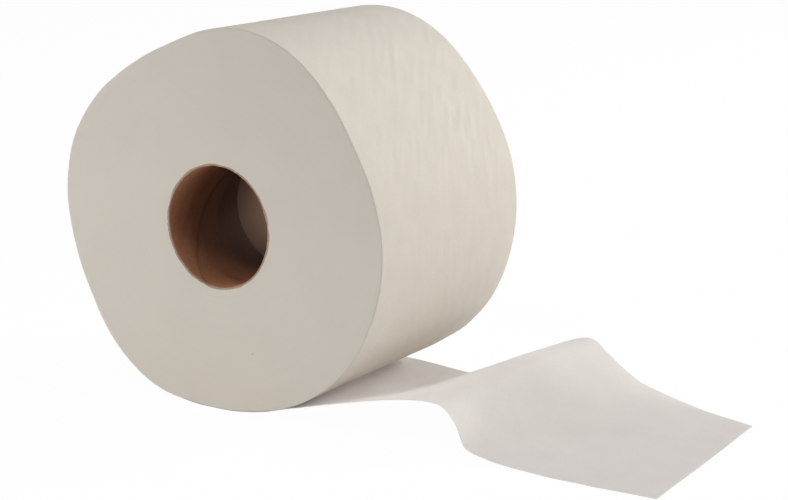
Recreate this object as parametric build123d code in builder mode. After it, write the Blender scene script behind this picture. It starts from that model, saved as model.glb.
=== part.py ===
"""Toilet paper roll lying on its side, with its loose end drawn out over a hump.

Millimetres. The roll's axis runs along Y, Z is up and the loose end runs out toward +X. The origin is
on the surface, under the axis and half way along the roll. The end face that shows most faces -Y, and the
core sits at that end.
"""
import os
from math import copysign, cos, radians, sqrt

from build123d import *

os.makedirs("parts", exist_ok=True)

# Core tube, which is shorter than the roll: it ends inside, and the web's own inner wall goes on from there
bore_radius = 22.4
core_wall = 0.9
core_length = 41.0
rim_break = 0.2

# Wound web
web_width = 95.0
roll_radius = 71.0
web_gauge = 0.5
rest_depth = 0.7

# The roll is squeezed a little out of round. Waves round its outline: count, height, direction of a crest
outline_waves = ((2, 0.26, 20.0), (3, 0.93, -52.0), (4, 1.29, -23.0), (5, 0.88, 12.5))
outline_arcs = 20

# Turns that show as one spiral line on each end face
shown_turns = 5
turn_line_depth = 0.35
turn_margin = 1.5

# Loose end, as the bent lines of its two edges. Each corner: distance out from the roll's axis, height
# over the surface, radius of the bend
near_edge = (
    (5.0, 0.3, 0.0),
    (21.0, 0.3, 40.0),
    (82.0, 18.2, 60.0),
    (97.0, 18.4, 7.0),
    (106.5, 2.1, 6.0),
    (126.0, 0.2, 120.0),
    (175.5, 0.2, 0.0),
)
far_edge = (
    (5.0, 0.3, 0.0),
    (54.0, 0.2, 40.0),
    (84.0, 14.7, 80.0),
    (104.2, 21.2, 6.0),
    (123.5, 6.9, 20.0),
    (150.0, 0.2, 60.0),
    (173.5, 0.2, 0.0),
)

# Places that follow
core_radius = bore_radius + core_wall
half_width = web_width / 2


def outline_point(angle):
    """Point of the roll's outline round its axis, at an angle in degrees from +X toward +Z."""
    waves = sum(height * cos(radians(count * (angle - crest))) for count, height, crest in outline_waves)
    return Vector(roll_radius + waves, 0).rotate(Axis.Z, angle)


# Ends and middles of the outline's arcs in turn, closed on the first one
half_arc = 180 / outline_arcs
outline_points = [outline_point(step * half_arc) for step in range(2 * outline_arcs)]
outline_points.append(outline_points[0])

axis_height = -min(outline_point(angle).Y for angle in range(-110, -70)) - rest_depth
near_face = Plane(origin=(0, -half_width, axis_height), x_dir=(1, 0, 0), z_dir=(0, -1, 0))

# The spiral line is made of half turns about two centres, half a pitch apart
first_turn_radius = core_radius + turn_margin
turn_pitch = (roll_radius - turn_margin - first_turn_radius) / (shown_turns + 0.5)
turn_radii = [first_turn_radius + turn * turn_pitch for turn in range(shown_turns)]


def bent_line(corners):
    """Straight runs joined by round bends, through rows of distance, height and bend radius."""
    places = [(reach, height) for reach, height, bend in corners]
    return FilletPolyline(*places, radius=[bend for reach, height, bend in corners[1:-1]])


def upper_side(corners):
    """Corners of the line one gauge higher: runs move square to the sheet and bends keep their centres."""
    places = [Vector(reach, height) for reach, height, bend in corners]
    runs = [(after - before).normalized() for before, after in zip(places, places[1:])]
    bends = [bend for reach, height, bend in corners]
    raised = []
    for place, bend, arriving, leaving in zip(places, bends, [runs[0], *runs], [*runs, runs[-1]]):
        square = (arriving + leaving).rotate(Axis.Z, 90)
        moved = place + square * (2 * web_gauge / square.dot(square))
        raised.append((moved.X, moved.Y, bend - copysign(web_gauge, arriving.cross(leaving).Z)))
    return raised


# Core tube, flush with the web at the near end
with BuildPart() as core_tube:
    with BuildSketch(near_face):
        Circle(core_radius)
        Circle(bore_radius, mode=Mode.SUBTRACT)
    extrude(amount=-core_length)
    bore_rims = core_tube.edges().filter_by(GeomType.CIRCLE).group_by(SortBy.RADIUS)[0]
    chamfer(bore_rims, rim_break)

core_tube.part.label = "core_tube"
export_step(core_tube.part, "parts/core_tube.step")

# Wound web with its loose end, one length of paper
with BuildPart() as paper_web:
    with BuildSketch(near_face):
        with BuildLine():
            for first in range(0, 2 * outline_arcs, 2):
                ThreePointArc(*outline_points[first:first + 3])
        make_face()
        Circle(core_radius, mode=Mode.SUBTRACT)
    extrude(amount=-web_width)
    split(bisect_by=Plane.XY, keep=Keep.TOP)

    # Spiral line of the turns on both end faces: upper half turns, then the lower ones that join them
    for centre, side in ((0, 1), (turn_pitch / 2, -1)):
        for end in (-half_width, half_width):
            with BuildSketch(Plane.XY.offset(axis_height)):
                with Locations(*[(side * radius, end) for radius in turn_radii]):
                    Rectangle(turn_line_depth * sqrt(2), turn_line_depth * sqrt(2), rotation=45)
            turned = Axis((centre, 0, axis_height), (0, -1, 0))
            revolve(axis=turned, revolution_arc=180, mode=Mode.SUBTRACT)

    # Loose end, from inside the last turn outward, ruled from its near edge to its far edge
    for side_y, corners in ((-half_width, near_edge), (half_width, far_edge)):
        with BuildSketch(Plane(origin=(0, side_y, 0), x_dir=(1, 0, 0), z_dir=(0, -1, 0))):
            with BuildLine():
                lower = bent_line(corners)
                upper = bent_line(upper_side(corners))
                Line(lower @ 0, upper @ 0)
                Line(lower @ 1, upper @ 1)
            make_face()
    loft(ruled=True)

paper_web.part.label = "paper_web"
export_step(paper_web.part, "parts/paper_web.step")
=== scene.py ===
"""Dresses a toilet paper roll: wound web, its turns, loose end, short cardboard core, stage and camera."""

from math import acos, atan2, cos, degrees, hypot, pi, radians, sin

import bmesh
import bpy
from bpy.props import FloatProperty, FloatVectorProperty, PointerProperty
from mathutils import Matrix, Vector, noise


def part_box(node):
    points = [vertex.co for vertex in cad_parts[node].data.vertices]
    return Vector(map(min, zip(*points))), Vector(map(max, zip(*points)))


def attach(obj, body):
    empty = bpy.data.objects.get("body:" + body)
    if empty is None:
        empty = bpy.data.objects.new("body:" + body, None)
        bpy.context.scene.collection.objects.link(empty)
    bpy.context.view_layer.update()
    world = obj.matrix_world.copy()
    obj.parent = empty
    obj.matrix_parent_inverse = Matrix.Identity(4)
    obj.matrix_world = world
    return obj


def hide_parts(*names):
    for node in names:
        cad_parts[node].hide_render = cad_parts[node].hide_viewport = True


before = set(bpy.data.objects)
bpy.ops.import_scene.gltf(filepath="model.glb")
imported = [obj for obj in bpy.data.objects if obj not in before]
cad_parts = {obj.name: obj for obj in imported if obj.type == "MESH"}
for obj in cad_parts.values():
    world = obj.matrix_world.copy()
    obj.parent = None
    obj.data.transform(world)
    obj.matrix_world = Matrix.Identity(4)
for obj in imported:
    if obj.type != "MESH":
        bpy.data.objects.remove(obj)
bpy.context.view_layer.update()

bl_info = {
    "name": "Toilet paper roll",
    "version": (1, 0, 0),
    "blender": (4, 5, 0),
    "location": "View3D > Sidebar > Roll",
    "description": "Builds a toilet paper roll with its loose end drawn out, round a packed model",
    "category": "Object",
}

MM = 0.001
SURFACE_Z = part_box("paper_web")[0].z
WEB_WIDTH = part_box("paper_web")[1].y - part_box("paper_web")[0].y
AXIS_Z = (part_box("core_tube")[0].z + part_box("core_tube")[1].z) / 2
CORE_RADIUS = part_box("core_tube")[1].z - AXIS_Z
CORE_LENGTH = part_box("core_tube")[1].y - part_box("core_tube")[0].y

# The squeezed outline: count of waves, their height, direction of a crest
OUTLINE_WAVES = (
    (2, 0.26 * MM, radians(20)),
    (3, 0.93 * MM, radians(-52)),
    (4, 1.29 * MM, radians(-23)),
    (5, 0.88 * MM, radians(12.5)),
)

# Small dents of the outline: direction in degrees, height at the near and at the far end in millimetres
OUTLINE_DENTS = (
    (-180, 0.3, 0.3), (-165, 0.3, 0.2), (-150, -0.35, -0.3), (-135, -0.1, -0.1), (-115, 0.4, 0.2),
    (-100, -0.6, -0.6), (-88, -0.85, -0.85), (-75, -1.0, -1.0), (-65, -0.8, -1.0), (-55, -0.8, -1.7),
    (-45, -0.5, -1.2), (-30, 0.1, -0.5), (-15, 0.45, -0.35), (0, 0.55, 0), (15, 0.1, 0.35),
    (30, -0.45, 0.15), (45, 0.1, 0), (60, 0.45, 0.15), (75, 0.25, 0.15), (90, 0.05, 0.1), (105, -0.3, 0),
    (120, 0.35, 0.2), (135, 0.15, 0.1), (150, -0.4, -0.3), (165, -0.25, -0.2), (180, 0.3, 0.3),
)

# Wrinkles of the side: their slant as shares of x and y, and middle and reach of their patch round the roll
WRINKLE_SLANT = (0.8395, 0.5433)
WRINKLE_MIDDLE, WRINKLE_REACH = radians(45), radians(36)

# Their patch along the roll: y where it sets in or ends, and how far the fade takes
NEAR_FADE, FAR_FADE = (-42 * MM, 50 * MM), (50 * MM, 16 * MM)

# Strength of the wrinkles everywhere, added in the patch and added in clouds, and depths in millimetres
WRINKLE_LEAST, WRINKLE_PATCH, WRINKLE_CLOUDS = 0.1, 0.92, 0.25
WRINKLE_DEPTH, SWELL_DEPTH = 0.2, 0.12

# Uneven stacking of the end faces in millimetres: slow bands, fine bands and blotches
BAND_DEPTH, FINE_DEPTH, BLOTCH_DEPTH = 0.07, 0.012, 0.12

# Bends sharper than this stay crisp
CRISP_ANGLE = radians(50)

# Dark specks of the web: colour, how strongly it shows and which share of the cells has none
SPECK_COLOUR, SPECK_STRENGTH, SPECK_FREE = (0.30, 0.25, 0.19), 0.55, 0.72

# Painted light and shade on the end faces, lighter low down and darker higher up and toward +x: share of the
# whole fade for each metre along x, y and z
PAINTED_SHADE_FADE = (0.8, 0, 8)

# Lengthwise lines of the loose end past the roll: share of the width from the near edge, where the line
# leaves the roll, and then distance from the axis and height over the surface, all in millimetres
SHEET_LINES = (
    (0, 23, (
        (30, 5.25), (35.9, 6.75), (46.9, 9.7), (57.7, 12.45), (68.3, 15), (76.6, 16.7), (82.8, 17.65),
        (88.9, 18.2), (94.1, 17.95), (96.7, 16.8), (99.4, 14.3), (101.7, 10.8), (103.1, 7.7), (104.5, 4.7),
        (106.8, 3.3), (110.5, 2.35), (115.5, 1.4), (122, 0.75), (131, 0.4), (142, 0.15), (158, 0.15),
        (168, 0.25), (176.8, 0.4),
    )),
    (0.18, 20, (
        (30, 4.4), (38, 5.9), (46, 7.9), (56, 10.3), (63, 12), (71, 14.1), (79.5, 16.7), (85.5, 17.9),
        (91, 18.4), (96, 17.7), (99.4, 15), (102.6, 10.4), (106.2, 6.1), (111, 3.7), (119, 1.8), (130, 0.6),
        (143, 0.2), (158, 0.15), (168, 0.2), (176.2, 0.3),
    )),
    (0.4, 14, (
        (24, 1.9), (36, 3.4), (46, 5.3), (53.5, 6.8), (60, 8.4), (68, 11.2), (76, 14.4), (83.5, 17.6),
        (89.5, 18.9), (95, 19), (99.6, 17.6), (103.4, 13.5), (107.6, 8.7), (113, 5.2), (121, 2.7),
        (131, 1.1), (143, 0.35), (157, 0.15), (168, 0.2), (175.5, 0.2),
    )),
    (0.65, 10, (
        (24, 0.5), (38, 1.1), (47, 2), (53.5, 3.3), (60, 5.3), (68, 8.8), (76, 12.5), (84, 16.4),
        (91, 19.4), (96.5, 20.1), (101, 19.4), (105.2, 16.2), (110, 11.4), (116.5, 7.2), (125, 4),
        (135, 1.8), (146, 0.6), (158, 0.15), (168, 0.15), (174.6, 0.2),
    )),
    (1, 9, (
        (24, 0.12), (38, 0.12), (50.5, 0.12), (55.5, 0.5), (61, 2.3), (68, 5.8), (76, 9.7), (84, 13.6),
        (92, 17.4), (97.6, 19.5), (102.3, 20.6), (106, 19.8), (110.4, 16.3), (116.6, 11.8), (124.7, 6.9),
        (133, 4.3), (142, 2.1), (151, 0.7), (162, 0.15), (173.2, 0.15),
    )),
)


# Sizes and colours that a user would change

def length(name, description, default):
    return FloatProperty(
        name=name, description=description, default=default, min=0, unit="LENGTH", precision=5,
    )


def colour(name, description, default):
    return FloatVectorProperty(
        name=name, description=description, default=default, min=0, max=1, subtype="COLOR",
    )


class RollSizes(bpy.types.PropertyGroup):
    """Sizes of the roll, in metres."""
    roll_radius: length("Roll radius", "Mean radius of the wound roll", 71 * MM)
    web_width: length("Web width", "Width of the web and of the roll", WEB_WIDTH)
    web_bore: length("Web bore", "Radius of the web's inner wall", CORE_RADIUS)
    rim_round: length("Rim round", "Radius of the web's soft rims", 0.3 * MM)
    web_gauge: length("Web gauge", "Thickness of the loose end", 0.11 * MM)
    turn_pitch: length("Turn pitch", "Distance between the turns that show on the end faces", 1.6 * MM)
    turn_rise: length("Turn rise", "How far a turn's edge stands out between its lines", 0.012 * MM)
    core_wall: length("Core wall", "Wall of the cardboard core", 0.9 * MM)
    core_length: length("Core length", "Length of the cardboard core", CORE_LENGTH)
    ply_pitch: length("Ply pitch", "Advance of the core's ply seam for one turn", 94.7 * MM)


class RollColours(bpy.types.PropertyGroup):
    """Colours of the finishes, linear."""
    # The tissue, loose end and turn edges are one paper: the loose end and the turn edges are set lighter
    # than the side as painted light, making up for how light falls on them
    tissue: colour("Tissue", "Web seen from its face", (0.695, 0.64, 0.562))
    loose: colour("Loose end", "Single web over a pale surface", (0.728, 0.671, 0.622))
    edge: colour("Turn edges", "Web seen on the end faces", (0.785, 0.725, 0.64))
    # Painted shade: pale tissue coloured dark brown for the shade and the brown bounce light inside the tube
    inner: colour("Inner turns", "Web's inner wall past the core", (0.215, 0.12, 0.07))
    # The finish keeps this colour at the near rim and darkens it with painted shade deeper into the tube
    kraft: colour("Cardboard", "Inner wall of the core", (0.58, 0.265, 0.145))
    kraft_cut: colour("Cut cardboard", "Cut rim of the core", (0.44, 0.35, 0.27))
    floor: colour("Floor", "Floor and backdrop", (0.9, 0.9, 0.9))


# Form of the roll

def clamped(value):
    return min(1.0, max(0.0, value))


def faded(place, start, run):
    """0 up to the start and 1 from the end of the run on."""
    return clamped((place - start) / run)


def tent(place, middle, reach):
    """1 at the middle, less on both sides, and 0 from reach on."""
    return max(0.0, 1 - abs(place - middle) / reach)


def cloud(x, y, z):
    """Smooth noise at a place, between about -1 and 1."""
    return noise.noise(Vector((x, y, z)))


def outward(y):
    """The way out of the roll at the end where y is."""
    return 1 if y > 0 else -1


def dent(angle, share):
    """Height of the outline's dents at an angle, from the near end at share 0 to the far end at share 1."""
    turned = degrees(atan2(sin(angle), cos(angle)))
    for (start, near_a, far_a), (end, near_b, far_b) in zip(OUTLINE_DENTS, OUTLINE_DENTS[1:]):
        if turned <= end:
            part = (1 - cos(pi * (turned - start) / (end - start))) / 2
            near, far = near_a + (near_b - near_a) * part, far_a + (far_b - far_a) * part
            return (near + (far - near) * share) * MM


def outline(angle, sizes, share=0.5):
    """Radius of the roll's outline at an angle from +X toward +Z, and at a share of the roll's length."""
    waves = sum(h * cos(n * (angle - crest)) for n, h, crest in OUTLINE_WAVES)
    return sizes.roll_radius + waves + dent(angle, share)


def squeezed(angle, radius, sizes, share):
    """Radius in the squeezed roll of a place that lies at radius in the round one."""
    part = (radius - sizes.web_bore) / (sizes.roll_radius - sizes.web_bore)
    return sizes.web_bore + (outline(angle, sizes, share) - sizes.web_bore) * part


def end_relief(angle, radius):
    """Uneven stacking of the turns: how far the end face stands out at a place."""
    band = cloud(radius / (7 * MM), cos(angle) * 0.5, sin(angle) * 0.5)
    fine = cloud(radius / (1.7 * MM), cos(angle) * 0.8 + 9, sin(angle) * 0.8)
    blotch = cloud(cos(angle) * radius / (24 * MM), 5, sin(angle) * radius / (24 * MM))
    return (BAND_DEPTH * band + FINE_DEPTH * fine + BLOTCH_DEPTH * blotch) * MM


def side_relief(angle, y, sizes):
    """Short slanting wrinkles of the last turn, strongest in one patch of its upper side, and slow swells."""
    x, z = sizes.roll_radius * cos(angle), sizes.roll_radius * sin(angle)
    slant = WRINKLE_SLANT[0] * x + WRINKLE_SLANT[1] * y
    wrinkle = cloud(slant / (2 * MM), x / (13 * MM), z / (13 * MM))
    wrinkle += 0.6 * cloud(slant / (1.2 * MM) + 20, x / (7 * MM), z / (7 * MM))
    patch = cloud(cos(angle) * 3.2, sin(angle) * 3.2, y / (18 * MM))
    turned = angle - WRINKLE_MIDDLE
    away = atan2(sin(turned), cos(turned)) / WRINKLE_REACH
    (near_y, near_run), (far_y, far_run) = NEAR_FADE, FAR_FADE
    shown = max(0.0, 1 - away * away) * faded(y, near_y, near_run) * faded(-y, -far_y, far_run)
    strength = WRINKLE_LEAST + WRINKLE_PATCH * shown * (0.95 + 0.8 * patch)
    strength += WRINKLE_CLOUDS * max(0.0, patch)
    swell = cloud(cos(angle) * 1.6 + 4, sin(angle) * 1.6, y / (45 * MM))
    return (WRINKLE_DEPTH * wrinkle * strength + SWELL_DEPTH * swell) * MM


def soft_floor(z, lift):
    """Keeps a height over the surface, so that the roll sits on its flat spot."""
    return max(z, SURFACE_Z + lift)


# Meshes

def new_object(name, data):
    """An object with this data, put into the scene."""
    piece = bpy.data.objects.new(name, data)
    bpy.context.scene.collection.objects.link(piece)
    return piece


def grid_mesh(name, rows, uvs, close_rows=False, close_columns=False, skin=None):
    """A grid of points as a mesh. uvs has one more row or column than rows where the grid is closed."""
    count, width = len(rows), len(rows[0])
    mesh = bpy.data.meshes.new(name)
    faces, corners, skins = [], [], []
    for i in range(count if close_rows else count - 1):
        for j in range(width if close_columns else width - 1):
            around = ((i, j), (i + 1, j), (i + 1, j + 1), (i, j + 1))
            faces.append([(a % count) * width + b % width for a, b in around])
            corners.extend(uvs[a][b] for a, b in around)
            skins.append(skin(j) if skin else 0)
    mesh.from_pydata([point for row in rows for point in row], [], faces)
    layer = mesh.uv_layers.new(name="web")
    for loop, place in zip(layer.data, corners):
        loop.uv = place
    mesh.polygons.foreach_set("material_index", skins)
    mesh.polygons.foreach_set("use_smooth", [True] * len(faces))
    return mesh


def face_outwards(mesh):
    """Turns the faces outward and keeps cut edges and corners crisp."""
    shape = bmesh.new()
    shape.from_mesh(mesh)
    bmesh.ops.recalc_face_normals(shape, faces=shape.faces)
    for edge in shape.edges:
        if edge.is_boundary or edge.calc_face_angle() > CRISP_ANGLE:
            edge.smooth = False
    shape.to_mesh(mesh)
    shape.free()


def give_values(mesh, name, values):
    """Gives every point of a mesh a value, under a name that a finish can read."""
    mesh.attributes.new(name, "FLOAT", "POINT").data.foreach_set("value", values)


def finish_piece(piece, node, slot, *materials):
    """Gives a piece its materials, hides the node of the model that it stands for and hangs the piece on the
    root body.
    """
    for material in materials:
        piece.data.materials.append(material)
    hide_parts(node)
    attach(piece, "root")


def hermite(start, end, leaving, arriving, s):
    """A place at share s of a curve between two ends, by the way it leaves and arrives."""
    return (
        start * (2 * s ** 3 - 3 * s ** 2 + 1) + leaving * (s ** 3 - 2 * s ** 2 + s)
        + end * (3 * s ** 2 - 2 * s ** 3) + arriving * (s ** 3 - s ** 2)
    )


def smooth_line(points, step):
    """Evenly stepped points on a smooth line through points, and its length."""
    dense = []
    for k, (start, end) in enumerate(zip(points, points[1:])):
        before, after = points[max(k - 1, 0)], points[min(k + 2, len(points) - 1)]
        chord = (end - start).length
        leaving = (end - before).normalized() * chord
        arriving = (after - start).normalized() * chord
        dense += [hermite(start, end, leaving, arriving, n / 16) for n in range(16)]
    dense.append(points[-1])
    return resampled(dense, step)


def between(places, values, place):
    """A value on the smooth line that has these values at these places."""
    k = max(n for n in range(len(places) - 1) if places[n] <= place)
    slopes = []
    for n in (k, k + 1):
        before, after = max(n - 1, 0), min(n + 1, len(places) - 1)
        slopes.append((values[after] - values[before]) / (places[after] - places[before]))
    gap = places[k + 1] - places[k]
    return hermite(values[k], values[k + 1], slopes[0] * gap, slopes[1] * gap, (place - places[k]) / gap)


def resampled(points, step):
    """The same line with even steps, and its length."""
    reach = [0.0]
    for a, b in zip(points, points[1:]):
        reach.append(reach[-1] + (b - a).length)
    count = round(reach[-1] / step)
    line, k = [], 0
    for n in range(count + 1):
        want = reach[-1] * n / count
        while k < len(points) - 2 and reach[k + 1] < want:
            k += 1
        share = (want - reach[k]) / max(reach[k + 1] - reach[k], 1e-9)
        line.append(points[k].lerp(points[k + 1], min(share, 1.0)))
    return line, reach[-1]


# Finishes

def link(tree, source, target):
    tree.links.new(source, target)


def feed(tree, node, **inputs):
    """Sets inputs of a node, by name or by 'in_' and their place, to plain values or to other sockets."""
    for name, value in inputs.items():
        socket = node.inputs[int(name[3:]) if name.startswith("in_") else name.replace("_", " ")]
        if isinstance(value, bpy.types.NodeSocket):
            link(tree, value, socket)
        else:
            socket.default_value = value


def add(tree, kind, **settings):
    """A node with its properties, all in small letters, and its inputs, with a capital or 'in_' first."""
    node = tree.nodes.new(kind)
    for name, value in settings.items():
        if name[0].isupper() or name.startswith("in_"):
            feed(tree, node, **{name: value})
        else:
            setattr(node, name, value)
    return node


def computed(tree, operation, first, second):
    """The result of a sum or comparison of two values."""
    return add(tree, "ShaderNodeMath", operation=operation, in_0=first, in_1=second).outputs[0]


def shade_group(name, inputs, outputs):
    """A node group with inputs of label, kind and default, and with outputs of label and kind."""
    tree = bpy.data.node_groups.new(name, "ShaderNodeTree")
    for label, kind, default in inputs:
        socket = tree.interface.new_socket(label, in_out="INPUT", socket_type=kind)
        if default is not None:
            socket.default_value = default
    for label, kind in outputs:
        tree.interface.new_socket(label, in_out="OUTPUT", socket_type=kind)
    return tree, tree.nodes.new("NodeGroupInput").outputs, tree.nodes.new("NodeGroupOutput")


def fibre_grain():
    """Fibres that run mostly one way, with a slow cloudiness, shared by tissue and cardboard."""
    name = "Fibre grain"
    if name in bpy.data.node_groups:
        return bpy.data.node_groups[name]
    tree, given, out = shade_group(
        name,
        (
            ("Vector", "NodeSocketVector", None),
            ("Along", "NodeSocketFloat", 300.0),
            ("Across", "NodeSocketFloat", 1500.0),
            ("Cloud", "NodeSocketFloat", 60.0),
        ),
        (("Fibre", "NodeSocketFloat"), ("Cloudiness", "NodeSocketFloat")),
    )
    place = given["Vector"]
    scale = add(tree, "ShaderNodeCombineXYZ", in_0=given["Along"], in_1=given["Across"], in_2=given["Along"])
    stretched = add(tree, "ShaderNodeVectorMath", operation="MULTIPLY", in_0=place, in_1=scale.outputs[0])
    fibre = add(
        tree, "ShaderNodeTexNoise", Vector=stretched.outputs[0], Scale=1.0, Detail=4.0, Roughness=0.6,
    )
    cloudy = add(tree, "ShaderNodeTexNoise", Vector=place, Scale=given["Cloud"], Detail=3.0)
    feed(tree, out, Fibre=fibre.outputs[0], Cloudiness=cloudy.outputs[0])
    return tree


def grained(tree, vector, along, across, cloudy):
    """The fibres and the cloudiness at a place, for counts per metre along, across and of clouds."""
    grain = add(
        tree, "ShaderNodeGroup", node_tree=fibre_grain(),
        Vector=vector, Along=along, Across=across, Cloud=cloudy,
    )
    return grain.outputs["Fibre"], grain.outputs["Cloudiness"]


def sparse_specks():
    """Few small dark specks, as recycled fibre has: 1 on a speck and 0 elsewhere."""
    name = "Sparse specks"
    if name in bpy.data.node_groups:
        return bpy.data.node_groups[name]
    tree, given, out = shade_group(
        name,
        (
            ("Vector", "NodeSocketVector", None),
            ("Density", "NodeSocketFloat", 90.0),
            ("Size", "NodeSocketFloat", 0.04),
        ),
        (("Speck", "NodeSocketFloat"),),
    )
    cells = add(tree, "ShaderNodeTexVoronoi", Vector=given["Vector"], Scale=given["Density"])
    parts = add(tree, "ShaderNodeSeparateColor", in_0=cells.outputs["Color"])
    chosen = computed(tree, "GREATER_THAN", parts.outputs[0], SPECK_FREE)
    reach = computed(tree, "MULTIPLY", parts.outputs[1], given["Size"])
    inside = computed(tree, "LESS_THAN", cells.outputs["Distance"], reach)
    feed(tree, out, Speck=computed(tree, "MULTIPLY", chosen, inside))
    return tree


def specked(tree, vector, base, density, size):
    """A colour with sparse specks laid over it."""
    specks = add(
        tree, "ShaderNodeGroup", node_tree=sparse_specks(), Vector=vector, Density=density, Size=size,
    )
    return blended(tree, computed(tree, "MULTIPLY", specks.outputs[0], SPECK_STRENGTH), base, SPECK_COLOUR)


def blank_material(name, roughness, sheen=0.0):
    """A matte material, its node tree and its shader."""
    material = bpy.data.materials.new(name)
    material.use_nodes = True
    tree = material.node_tree
    shader = tree.nodes["Principled BSDF"]
    feed(
        tree, shader, Roughness=roughness, Specular_IOR_Level=0.25, Sheen_Weight=sheen, Sheen_Roughness=0.6,
    )
    return material, tree, shader


def tinted(tree, factor, dark, light, low=0.3, high=0.7):
    """A colour between two tones by a varying factor."""
    ramp = add(tree, "ShaderNodeValToRGB", in_0=factor)
    ramp.color_ramp.elements[0].position = low
    ramp.color_ramp.elements[1].position = high
    ramp.color_ramp.elements[0].color = (*dark, 1)
    ramp.color_ramp.elements[1].color = (*light, 1)
    return ramp.outputs[0]


def blended(tree, share, base, over):
    """A colour with a plain one laid over it by a varying share."""
    mixed = add(tree, "ShaderNodeMix", data_type="RGBA", in_0=share, in_6=base, in_7=(*over, 1))
    return mixed.outputs[2]


def multiplied(tree, base, factor):
    """A colour times another one."""
    mixed = add(
        tree, "ShaderNodeMix", data_type="RGBA", blend_type="MULTIPLY", in_0=1.0, in_6=base, in_7=factor,
    )
    return mixed.outputs[2]


def scaled(rgb, factor):
    return tuple(min(1.0, c * factor) for c in rgb)


def grey(value):
    return (value, value, value)


def bump(tree, height, distance, strength=1.0, under=None):
    """A normal raised by a varying height, over another normal where one is given."""
    node = add(tree, "ShaderNodeBump", Strength=strength, Distance=distance, Height=height)
    if under:
        link(tree, under, node.inputs["Normal"])
    return node.outputs[0]


def tissue_material(name, tint, thin=False):
    """The face of the web: fine crepe, cloudy fibres, a soft fuzz. Thin web lets light through."""
    material, tree, shader = blank_material(name, roughness=0.92, sheen=0.12)
    if thin:
        feed(tree, shader, Subsurface_Weight=1.0, Subsurface_Radius=(1, 1, 1), Subsurface_Scale=0.5 * MM)
    place = add(tree, "ShaderNodeUVMap", uv_map="web").outputs[0]
    fibre, cloudiness = grained(tree, place, along=2600.0, across=420.0, cloudy=75.0)
    tone = tinted(tree, cloudiness, scaled(tint, 0.975), scaled(tint, 1.02))
    flecks = tinted(tree, fibre, grey(0.955), grey(1), low=0.25, high=0.6)
    finish = specked(tree, place, multiplied(tree, tone, flecks), density=60.0, size=0.035)
    feed(tree, shader, Base_Color=finish, Normal=bump(tree, fibre, distance=0.06 * MM, strength=0.5))
    return material


def turn_material(colours):
    """The web's cut edges on the end faces: fine turns round the axis, and painted shade that darkens them
    upward.
    """
    if "turn_edges" in bpy.data.materials:
        return bpy.data.materials["turn_edges"]
    material, tree, shader = blank_material("turn_edges", roughness=0.95, sheen=0.1)
    place = add(tree, "ShaderNodeTexCoord").outputs["Object"]
    centred = add(
        tree, "ShaderNodeMapping", vector_type="POINT", in_0=place, Location=(0, 0, -AXIS_Z),
    ).outputs[0]
    parts = add(tree, "ShaderNodeSeparateXYZ", in_0=centred)
    flat = add(tree, "ShaderNodeCombineXYZ", in_0=parts.outputs[0], in_1=parts.outputs[2]).outputs[0]
    radius = add(tree, "ShaderNodeVectorMath", operation="LENGTH", in_0=flat).outputs["Value"]
    rings = add(tree, "ShaderNodeCombineXYZ", in_0=radius).outputs[0]
    slow = add(tree, "ShaderNodeVectorMath", operation="SCALE", in_0=flat, Scale=0.004).outputs[0]
    ring_place = add(tree, "ShaderNodeVectorMath", operation="ADD", in_0=rings, in_1=slow).outputs[0]
    turns = add(tree, "ShaderNodeTexNoise", Vector=ring_place, Scale=3200.0, Detail=2.0).outputs[0]
    fibre, cloudiness = grained(tree, place, along=1800.0, across=1800.0, cloudy=45.0)
    tone = tinted(tree, cloudiness, scaled(colours.edge, 0.985), scaled(colours.edge, 1.015))
    # Painted light and shade: the end faces are lighter low down and darker higher up
    shade_climb = add(tree, "ShaderNodeVectorMath", operation="DOT_PRODUCT", in_0=centred, in_1=PAINTED_SHADE_FADE)
    height = computed(tree, "ADD", shade_climb.outputs["Value"], 0.5)
    tone = multiplied(tree, tone, tinted(tree, height, grey(1.055), grey(0.95), low=0.0, high=1.0))
    lines = tinted(tree, turns, grey(0.982), grey(1), low=0.3, high=0.6)
    finish = specked(tree, place, multiplied(tree, tone, lines), density=55.0, size=0.045)
    lined = bump(tree, turns, distance=0.02 * MM, strength=0.2)
    grainy = bump(tree, fibre, distance=0.03 * MM, strength=0.3, under=lined)
    feed(tree, shader, Base_Color=finish, Normal=grainy)
    return material


def kraft_material(colours):
    """Brown board of the core's inner wall: fibres along the plies, painted shade that darkens it with depth
    into the tube, a paler cut rim.
    """
    material, tree, shader = blank_material("kraft_board", roughness=0.8)
    place = add(tree, "ShaderNodeUVMap", uv_map="web").outputs[0]
    seam, depth, worn = (
        add(tree, "ShaderNodeAttribute", attribute_name=name).outputs["Fac"]
        for name in ("seam", "depth", "cut")
    )
    fibre, cloudiness = grained(tree, place, along=260.0, across=1700.0, cloudy=90.0)
    tone = tinted(tree, cloudiness, scaled(colours.kraft, 0.84), scaled(colours.kraft, 1.14))
    board = multiplied(tree, tone, tinted(tree, fibre, grey(0.86), grey(1), low=0.3, high=0.62))
    board = blended(tree, seam, board, scaled(colours.kraft, 0.3))
    # Painted shade: the board darkens with depth into the tube, fastest in the first third
    painted_depth_shade = tinted(tree, depth, grey(1), (0.19, 0.135, 0.09), low=0.0, high=0.85)
    painted_depth_shade.node.color_ramp.elements.new(0.32).color = (0.40, 0.345, 0.29, 1)
    board = multiplied(tree, board, painted_depth_shade)
    board = blended(tree, worn, board, colours.kraft_cut)
    feed(tree, shader, Base_Color=board, Normal=bump(tree, fibre, distance=0.08 * MM, strength=0.5))
    return material


def seen_rays(tree):
    """1 for what a camera or a glossy surface sees, and 0 for what lights the scene."""
    rays = add(tree, "ShaderNodeLightPath")
    return computed(tree, "MAXIMUM", rays.outputs["Is Camera Ray"], rays.outputs["Is Glossy Ray"])


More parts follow.
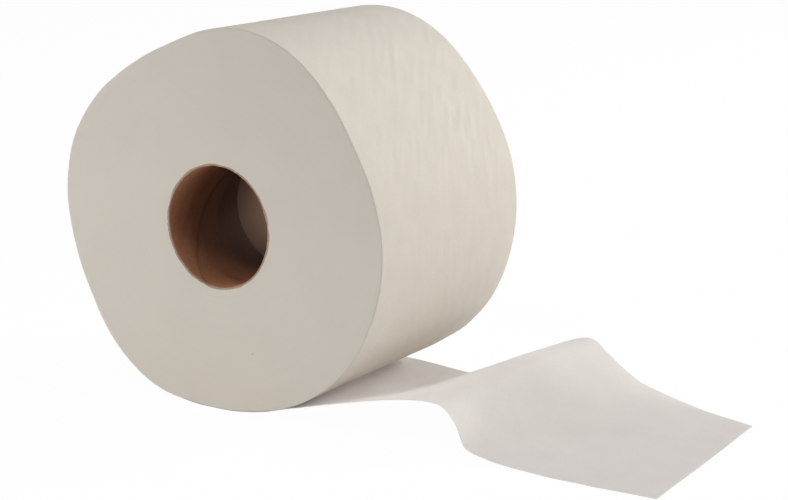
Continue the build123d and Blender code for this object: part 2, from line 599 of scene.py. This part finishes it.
def floor_material(colours):
    """Pale, softly lit floor that a camera sees nearly white, with the roll's shadow kept."""
    material, tree, shader = blank_material("pale_floor", roughness=0.9)
    feed(tree, shader, Base_Color=(*colours.floor, 1), Emission_Color=(1, 1, 1, 1), Emission_Strength=0.12)
    glow = add(tree, "ShaderNodeEmission")
    share = computed(tree, "MULTIPLY", seen_rays(tree), 0.97)
    mixed = add(tree, "ShaderNodeMixShader", in_0=share, in_1=shader.outputs[0], in_2=glow.outputs[0])
    link(tree, mixed.outputs[0], tree.nodes["Material Output"].inputs["Surface"])
    return material


# Geometry trees

def turns_tree(material):
    """Turns of the web on both end faces: one low strip along a spiral, given at both ends of the roll."""
    tree = bpy.data.node_groups.new("Web turns", "GeometryNodeTree")
    for label in ("Inner Radius", "Outer Radius", "Turns", "Pitch", "Rise", "Half Width"):
        tree.interface.new_socket(label, in_out="INPUT", socket_type="NodeSocketFloat")
    tree.interface.new_socket("Steps", in_out="INPUT", socket_type="NodeSocketInt")
    tree.interface.new_socket("Geometry", in_out="OUTPUT", socket_type="NodeSocketGeometry")
    given = tree.nodes.new("NodeGroupInput").outputs
    spiral = add(
        tree, "GeometryNodeCurveSpiral", Resolution=given["Steps"], Rotations=given["Turns"],
        Start_Radius=given["Inner Radius"], End_Radius=given["Outer Radius"], Height=0.0,
    )
    upright = add(tree, "GeometryNodeSetCurveNormal", mode="Z_UP", in_0=spiral.outputs[0])
    width = computed(tree, "MULTIPLY", given["Pitch"], 0.96)
    profile = add(
        tree, "GeometryNodeCurvePrimitiveQuadrilateral", mode="RECTANGLE", Width=width, Height=given["Rise"],
    )
    strip = add(
        tree, "GeometryNodeCurveToMesh", Curve=upright.outputs[0], Profile_Curve=profile.outputs[0],
        Fill_Caps=True,
    )
    ends = tree.nodes.new("GeometryNodeJoinGeometry")
    for side in (-1.0, 1.0):
        place = add(tree, "ShaderNodeCombineXYZ", in_1=computed(tree, "MULTIPLY", given["Half Width"], side))
        put = add(
            tree, "GeometryNodeTransform", Geometry=strip.outputs[0], Translation=place.outputs[0],
            Rotation=(pi / 2, 0, 0),
        )
        link(tree, put.outputs[0], ends.inputs[0])
    real = add(tree, "GeometryNodeRealizeInstances", in_0=ends.outputs[0])
    painted = add(tree, "GeometryNodeSetMaterial", Geometry=real.outputs[0], Material=material)
    feed(tree, tree.nodes.new("NodeGroupOutput"), Geometry=painted.outputs[0])
    return tree


def grown(name, tree, **values):
    """The plain mesh that a geometry tree makes with these values."""
    seed = new_object(name + "_seed", bpy.data.meshes.new(name + "_seed"))
    modifier = seed.modifiers.new("Tree", "NODES")
    modifier.node_group = tree
    sockets = {item.name: item.identifier for item in tree.interface.items_tree if item.in_out == "INPUT"}
    for label, value in values.items():
        modifier[sockets[label.replace("_", " ")]] = value
    bpy.context.view_layer.update()
    ready = seed.evaluated_get(bpy.context.evaluated_depsgraph_get())
    mesh = bpy.data.meshes.new_from_object(ready)
    seed.modifiers.remove(modifier)
    bpy.data.objects.remove(seed)
    return mesh


# Pieces

class ROLL_OT_wound_web(bpy.types.Operator):
    """Build the wound web: soft side with wrinkles, end faces and inner wall"""
    bl_idname = "roll.wound_web"
    bl_label = "Wound web"

    ANGLES = 360
    RINGS = 26
    SIDE_STEPS = 136
    WALL_STEPS = 30
    RIM_BENDS = (0, 0.33, 0.67)
    SKINS = {"end": 1, "rim": 1, "side": 0, "wall": 2}

    # Lowest height of the skin over the surface
    UNDERSIDE = 0.22 * MM

    # The inner wall past the core: how far it is crumpled, and how far that takes to set in
    CRUMPLE, CRUMPLE_RUN = 0.35 * MM, 4 * MM

    def profile(self, sizes):
        """One loop round the web's section: kind of place, share of the way out from the bore, y."""
        half = sizes.web_width / 2
        deep, straight = half - sizes.turn_rise, half - sizes.rim_round
        loop = [("end", n / self.RINGS, -deep) for n in range(self.RINGS)]
        loop += [("rim", bend, -1) for bend in self.RIM_BENDS]
        steps = range(self.SIDE_STEPS + 1)
        loop += [("side", 1, -straight + 2 * straight * n / self.SIDE_STEPS) for n in steps]
        loop += [("rim", bend, 1) for bend in reversed(self.RIM_BENDS)]
        loop += [("end", 1 - n / self.RINGS, deep) for n in range(1, self.RINGS + 1)]
        loop += [("wall", 0, deep - 2 * deep * n / self.WALL_STEPS) for n in range(1, self.WALL_STEPS)]
        return loop

    def torn_bore(self, angle, y):
        """How far the web's inner rim is torn inward at an angle, at the end where y is."""
        torn = cloud(cos(angle) * 5, sin(angle) * 5, y)
        torn += 1.6 * max(0.0, cloud(cos(angle) * 22, sin(angle) * 22, y + 4) - 0.2)
        return max(0.0, 0.04 + 0.4 * torn) * MM

    def crumple(self, sizes, angle, y):
        """How far the inner wall is pushed out at a place, past the core's far end."""
        crumple = cloud(cos(angle) * 2.4, sin(angle) * 2.4, y / (16 * MM))
        crumple += 0.5 * cloud(cos(angle) * 6 + 7, sin(angle) * 6, y / (7 * MM))
        core_end = sizes.core_length - sizes.web_width / 2
        return self.CRUMPLE * crumple * faded(y, core_end, self.CRUMPLE_RUN)

    def place(self, sizes, angle, kind, share, y):
        """The point of the web's skin at an angle, for one place of the loop round its section."""
        half, rim = sizes.web_width / 2, sizes.rim_round
        reach = y * half if kind == "rim" else y
        out = outline(angle, sizes, 0.5 + reach / sizes.web_width)
        if kind == "end":
            bore = sizes.web_bore - self.torn_bore(angle, y) * max(0.0, 1 - 9 * share)
            radius = bore + (out - rim - bore) * share
            y = y + outward(y) * end_relief(angle, radius)
        elif kind == "rim":
            radius = out - rim * (1 - sin(share * pi / 2)) + side_relief(angle, y * half, sizes) * share
            y = y * (half - rim * (1 - cos(share * pi / 2)))
        elif kind == "side":
            radius = out + side_relief(angle, y, sizes)
        else:
            radius = sizes.web_bore + self.crumple(sizes, angle, y)
        return (radius * cos(angle), y, soft_floor(AXIS_Z + radius * sin(angle), self.UNDERSIDE))

    def execute(self, context):
        sizes, colours = context.scene.roll_sizes, context.scene.roll_colours
        loop = self.profile(sizes)
        turn = [2 * pi * n / self.ANGLES for n in range(self.ANGLES + 1)]
        rows = [[self.place(sizes, angle, *spot) for spot in loop] for angle in turn[:-1]]
        flat = [
            (sizes.roll_radius if kind == "side" else sizes.web_bore, y) for kind, share, y in loop + loop[:1]
        ]
        uvs = [[(angle * radius, y) for radius, y in flat] for angle in turn]
        skin = [self.SKINS[kind] for kind, share, y in loop]
        mesh = grid_mesh("wound_web", rows, uvs, True, True, lambda j: skin[j])
        face_outwards(mesh)
        piece = new_object("wound_web", mesh)
        finish_piece(
            piece, "paper_web", "tissue_paper", tissue_material("tissue_face", colours.tissue),
            # The inner turns take the dark brown inner colour, painted shade inside the tube
            turn_material(colours), tissue_material("inner_turns_painted_shade", colours.inner),
        )
        return {"FINISHED"}


class ROLL_OT_turns(bpy.types.Operator):
    """Lay the edges of the web's turns on both end faces, along the roll's spiral"""
    bl_idname = "roll.turns"
    bl_label = "Turns"

    UNDERSIDE = 0.3 * MM

    def execute(self, context):
        sizes, colours = context.scene.roll_sizes, context.scene.roll_colours
        inner = sizes.web_bore + 0.5 * sizes.turn_pitch + 0.1 * MM
        outer = sizes.roll_radius - sizes.rim_round - 0.5 * sizes.turn_pitch
        turns = round((outer - inner) / sizes.turn_pitch)
        mesh = grown(
            "web_turns", turns_tree(turn_material(colours)),
            Inner_Radius=inner, Outer_Radius=outer, Turns=float(turns), Pitch=(outer - inner) / turns,
            Rise=sizes.turn_rise, Half_Width=sizes.web_width / 2 - sizes.turn_rise / 2, Steps=180,
        )
        for vertex in mesh.vertices:
            x, y, z = vertex.co
            angle, radius = atan2(z, x), hypot(x, z)
            radius = squeezed(angle, radius, sizes, 0.5 + y / sizes.web_width)
            y += outward(y) * end_relief(angle, radius)
            vertex.co = (radius * cos(angle), y, soft_floor(AXIS_Z + radius * sin(angle), self.UNDERSIDE))
        mesh.polygons.foreach_set("use_smooth", [False] * len(mesh.polygons))
        face_outwards(mesh)
        finish_piece(new_object("web_turns", mesh), "paper_web", "tissue_paper")
        return {"FINISHED"}


class ROLL_OT_loose_end(bpy.types.Operator):
    """Lay the loose end from under the roll out over its hump"""
    bl_idname = "roll.loose_end"
    bl_label = "Loose end"

    STEP = 0.9 * MM
    ACROSS = 48

    # Least height of the sheet over the surface
    LIFT = 0.11 * MM

    # Where the loose end comes out of the last turn: direction in degrees and depth in millimetres
    TUCKED = ((-112, 0.3), (-109, 0.12), (-106, 0.02))

    # Its way under the roll: where that starts, its steps and its gap to the roll
    START, UNDER_STEP, UNDER_GAP = -15 * MM, 3 * MM, 0.12 * MM

    # How far the far edge is drawn in at the cut edge and beside the roll, in millimetres. The first sets in
    # at a distance and takes a run, the second has a middle and a reach
    END_DRIFT, END_START, END_RUN = 8.5, 142 * MM, 34 * MM
    NOOK_DRIFT, NOOK_MIDDLE, NOOK_REACH = 5.5, 60 * MM, 40 * MM

    # Slow ripples past the hump: depth, length, where they set in and how far that takes
    RIPPLE, RIPPLE_LENGTH, RIPPLE_START, RIPPLE_RUN = 0.25 * MM, 26 * MM, 92 * MM, 20 * MM

    def lengthwise(self, sizes, share, leave, places):
        """One line of the loose end: out of the last turn, along the roll's underside to leave, and on."""
        points = []
        for angle, depth in self.TUCKED:
            radius = outline(radians(angle), sizes, share) - depth * MM
            points.append(Vector((radius * cos(radians(angle)), 0, AXIS_Z + radius * sin(radians(angle)))))
        x = self.START
        while x < leave * MM + 1e-6:
            angle = -pi / 2
            for _ in range(4):
                angle = -acos(x / outline(angle, sizes, share))
            below = AXIS_Z + outline(angle, sizes, share) * sin(angle) - self.UNDER_GAP
            points.append(Vector((x, 0, max(below, SURFACE_Z + self.LIFT))))
            x += self.UNDER_STEP
        points += [Vector((x * MM, 0, SURFACE_Z + z * MM)) for x, z in places]
        line, run = smooth_line(points, self.STEP)
        for point in line:
            late = faded(point.x, self.END_START, self.END_RUN)
            nook = tent(point.x, self.NOOK_MIDDLE, self.NOOK_REACH)
            drift = self.END_DRIFT * late ** 1.5 + self.NOOK_DRIFT * nook * nook * (3 - 2 * nook)
            point.y = (share - 0.5) * sizes.web_width - drift * share ** 2 * MM
        return line, run

    def execute(self, context):
        sizes, colours = context.scene.roll_sizes, context.scene.roll_colours
        shares = [share for share, leave, places in SHEET_LINES]
        lines = [self.lengthwise(sizes, *line) for line in SHEET_LINES]
        run = sum(length for line, length in lines) / len(lines)
        count = round(run / self.STEP)
        across = [m / self.ACROSS for m in range(self.ACROSS + 1)]
        rows, uvs = [], []
        for n in range(count + 1):
            knots = [line[round(n * (len(line) - 1) / count)] for line, length in lines]
            row = []
            for share in across:
                point = between(shares, knots, share)
                ripple = cloud(point.x / self.RIPPLE_LENGTH, share * 2.2, 4) * self.RIPPLE
                free = faded(point.x, self.RIPPLE_START, self.RIPPLE_RUN)
                point.z = max(point.z + ripple * free, SURFACE_Z + self.LIFT)
                row.append(point)
            rows.append(row)
            uvs.append([(run * n / count, (share - 0.5) * sizes.web_width) for share in across])
        mesh = grid_mesh("loose_end", rows, uvs)
        face_outwards(mesh)
        piece = new_object("loose_end", mesh)
        thick = piece.modifiers.new("Gauge", "SOLIDIFY")
        thick.thickness = sizes.web_gauge
        thick.offset = 0
        finish_piece(piece, "paper_web", "tissue_paper", tissue_material("loose_web", colours.loose, True))
        return {"FINISHED"}


class ROLL_OT_core(bpy.types.Operator):
    """Build the short cardboard core with its helical ply seam and cut rims"""
    bl_idname = "roll.core"
    bl_label = "Core"

    ANGLES = 240
    LENGTH_STEPS = 54

    # Seam of the plies: where it starts at the near rim, and columns beside it in millimetres
    SEAM_START = radians(-104)
    SEAM_COLUMNS = (0, 0.2, 0.4, 0.75, 1.2, 1.65, 2.1)

    # Its groove, and the lip beside it: distance from the seam, reach and depth or height
    GROOVE_REACH, GROOVE_DEPTH = 0.5 * MM, 0.16 * MM
    LIP, LIP_REACH, LIP_HEIGHT = 1.2 * MM, 0.8 * MM, 0.05 * MM

    # Cosine and sine of the plies' slant, which the fibres follow
    PLY_SLANT = (0.83, 0.56)

    # How far the near rim lies inside the end face, how far the cut of either rim bulges, and how much
    # room the outer wall leaves to the web
    RECESS, BULGE, ROOM = 0.07 * MM, 0.06 * MM, 0.03 * MM

    def turned(self, inner):
        """Angles of the columns from the seam on round, close together beside the seam."""
        gaps = [s * MM / inner for s in self.SEAM_COLUMNS]
        wide = [gaps[-1] + (2 * pi - 2 * gaps[-1]) * n / self.ANGLES for n in range(self.ANGLES + 1)]
        return gaps[:-1] + wide + [2 * pi - gap for gap in reversed(gaps[1:-1])] + [2 * pi]

    def section(self, sizes):
        """One loop round the wall's section: kind of place and depth from the near rim."""
        depths = [sizes.core_length * n / self.LENGTH_STEPS for n in range(self.LENGTH_STEPS + 1)]
        loop = [("inside", depth) for depth in depths] + [("far", sizes.core_length)]
        return loop + [("outside", depth) for depth in reversed(depths)] + [("near", 0.0)]

    def place(self, sizes, turn, kind, depth):
        """The point of the core's skin at a turn from the seam, for one place of the section's loop."""
        inner = sizes.web_bore - sizes.core_wall
        angle = self.SEAM_START - 2 * pi * depth / sizes.ply_pitch + turn
        y = -sizes.web_width / 2 + self.RECESS + depth
        if kind == "inside":
            away = min(turn, 2 * pi - turn) * inner
            groove = tent(away, 0, self.GROOVE_REACH) * self.GROOVE_DEPTH
            lip = tent(away, self.LIP, self.LIP_REACH) * self.LIP_HEIGHT
            swell = cloud(cos(angle) * 1.7, sin(angle) * 1.7, depth / (20 * MM)) * 0.1 * MM
            radius = inner + groove - lip + swell
            if depth == 0:
                tear = cloud(cos(angle) * 9, sin(angle) * 9, 2) + cloud(cos(angle) * 26, sin(angle) * 26, 6)
                radius += (0.12 + 0.22 * tear) * MM
                y -= max(0.0, tear) * 0.12 * MM
        elif kind == "outside":
            radius = sizes.web_bore - self.ROOM
        else:
            radius = inner + 0.5 * sizes.core_wall
            y += -self.BULGE if kind == "near" else self.BULGE
        return (radius * cos(angle), y, AXIS_Z + radius * sin(angle))

    def worn(self, kind, depth, point):
        """How much of the pale cut board shows at a point."""
        if kind not in ("near", "far") and depth > 0:
            return 0.0
        angle = atan2(point[2] - AXIS_Z, point[0])
        return 0.75 + 0.5 * cloud(cos(angle) * 12, sin(angle) * 12, 3)

    def execute(self, context):
        sizes, colours = context.scene.roll_sizes, context.scene.roll_colours
        inner = sizes.web_bore - sizes.core_wall
        along, across = self.PLY_SLANT
        loop = self.section(sizes)
        rows, uvs, seams = [], [], []
        for turn in self.turned(inner):
            away = min(turn, 2 * pi - turn) * inner
            round_bore = turn * inner
            rows.append([self.place(sizes, turn, *spot) for spot in loop])
            uvs.append([
                (round_bore * along + depth * across, depth * along - round_bore * across)
                for kind, depth in loop + loop[:1]
            ])
            seams.append(tent(away, 0, 0.4 * MM) + 0.5 * tent(away, self.LIP, 0.45 * MM))
        rows.pop()
        mesh = grid_mesh("cardboard_core", rows, uvs, True, True)
        give_values(mesh, "cut", [self.worn(*spot, point) for row in rows for spot, point in zip(loop, row)])
        give_values(mesh, "depth", [depth / sizes.core_length for row in rows for kind, depth in loop])
        give_values(mesh, "seam", [seam for seam, row in zip(seams, rows) for point in row])
        face_outwards(mesh)
        piece = new_object("cardboard_core", mesh)
        finish_piece(piece, "core_tube", "cardboard_core", kraft_material(colours))
        return {"FINISHED"}


class ROLL_OT_stage(bpy.types.Operator):
    """Set the floor, the lamps and the camera"""
    bl_idname = "roll.stage"
    bl_label = "Stage"

    FLOOR_REACH = 6.0
    WORLD_LIGHT = 0.06

    # Lamps that shine on the roll's middle: name, place, width of the disk, power
    LAMPS = (
        ("key", (1.05, 1.2, 0.62), 0.7, 22.0),
        ("top_front", (-0.1, -0.85, 1.3), 0.35, 5.4),
        ("top", (0.2, 0.1, 1.5), 1.0, 3.4),
        ("low_left", (-0.3, -0.42, 0.04), 0.25, 0.82),
        ("behind", (0.35, 1.4, 0.5), 0.5, 4.0),
    )

    # Camera: its place, turn and height of the side it looks from, and its lens and sensor in millimetres
    CAMERA_PLACE = (0.4264, -0.5887, AXIS_Z + 0.1508)
    CAMERA_TURN, CAMERA_HEIGHT = radians(32.91), radians(13.07)
    LENS, SENSOR = 88.61, 36.0

    def floor(self, colours):
        mesh = bpy.data.meshes.new("stage_floor")
        sides = ((-1, -1), (1, -1), (1, 1), (-1, 1))
        corners = [(x * self.FLOOR_REACH, y * self.FLOOR_REACH, SURFACE_Z) for x, y in sides]
        mesh.from_pydata(corners, [], [(0, 1, 2, 3)])
        floor = new_object("stage_floor", mesh)
        mesh.materials.append(floor_material(colours))

    def world(self, scene):
        """A dim even light, with white where a camera looks past the floor."""
        world = bpy.data.worlds.new("pale_room")
        scene.world = world
        world.use_nodes = True
        tree = world.node_tree
        light = tree.nodes["Background"]
        feed(tree, light, Color=(1, 1, 1, 1), Strength=self.WORLD_LIGHT)
        white = add(tree, "ShaderNodeBackground", Color=(1, 1, 1, 1))
        mixed = add(
            tree, "ShaderNodeMixShader", in_0=seen_rays(tree), in_1=light.outputs[0], in_2=white.outputs[0],
        )
        link(tree, mixed.outputs[0], tree.nodes["World Output"].inputs["Surface"])

    def lamp(self, name, place, size, power):
        data = bpy.data.lights.new(name, "AREA")
        data.shape = "DISK"
        data.size = size
        data.energy = power
        lamp = new_object(name, data)
        lamp.location = place
        aim = Vector((0, 0, AXIS_Z)) - Vector(place)
        lamp.rotation_euler = aim.to_track_quat("-Z", "Y").to_euler()

    def camera(self, scene):
        data = bpy.data.cameras.new("camera")
        data.sensor_width = self.SENSOR
        data.lens = self.LENS
        data.clip_start, data.clip_end = 0.05, 30
        camera = new_object("camera", data)
        turn, height = self.CAMERA_TURN, self.CAMERA_HEIGHT
        back = Vector((sin(turn) * cos(height), -cos(turn) * cos(height), sin(height)))
        camera.location = self.CAMERA_PLACE
        camera.rotation_euler = (-back).to_track_quat("-Z", "Y").to_euler()
        scene.camera = camera

    def execute(self, context):
        scene = context.scene
        self.floor(scene.roll_colours)
        self.world(scene)
        for lamp in self.LAMPS:
            self.lamp(*lamp)
        self.camera(scene)
        scene.view_settings.view_transform = "Standard"
        return {"FINISHED"}


class ROLL_PT_panel(bpy.types.Panel):
    """Sizes, colours and pieces of the roll"""
    bl_idname = "ROLL_PT_panel"
    bl_label = "Toilet paper roll"
    bl_space_type = "VIEW_3D"
    bl_region_type = "UI"
    bl_category = "Roll"

    def draw(self, context):
        layout = self.layout
        for group in (context.scene.roll_sizes, context.scene.roll_colours):
            box = layout.box()
            for name in group.bl_rna.properties.keys():
                if name not in ("rna_type", "name"):
                    box.prop(group, name)
        for piece in PIECES:
            layout.operator(piece.bl_idname)


PIECES = (ROLL_OT_stage, ROLL_OT_wound_web, ROLL_OT_turns, ROLL_OT_loose_end, ROLL_OT_core)
CLASSES = (RollSizes, RollColours, *PIECES, ROLL_PT_panel)


def register():
    for item in CLASSES:
        bpy.utils.register_class(item)
    bpy.types.Scene.roll_sizes = PointerProperty(type=RollSizes)
    bpy.types.Scene.roll_colours = PointerProperty(type=RollColours)


def unregister():
    del bpy.types.Scene.roll_colours
    del bpy.types.Scene.roll_sizes
    for item in reversed(CLASSES):
        bpy.utils.unregister_class(item)


def main():
    register()
    bpy.ops.roll.stage()
    bpy.ops.roll.wound_web()
    bpy.ops.roll.turns()
    bpy.ops.roll.loose_end()
    bpy.ops.roll.core()


if __name__ == "__main__":
    main()
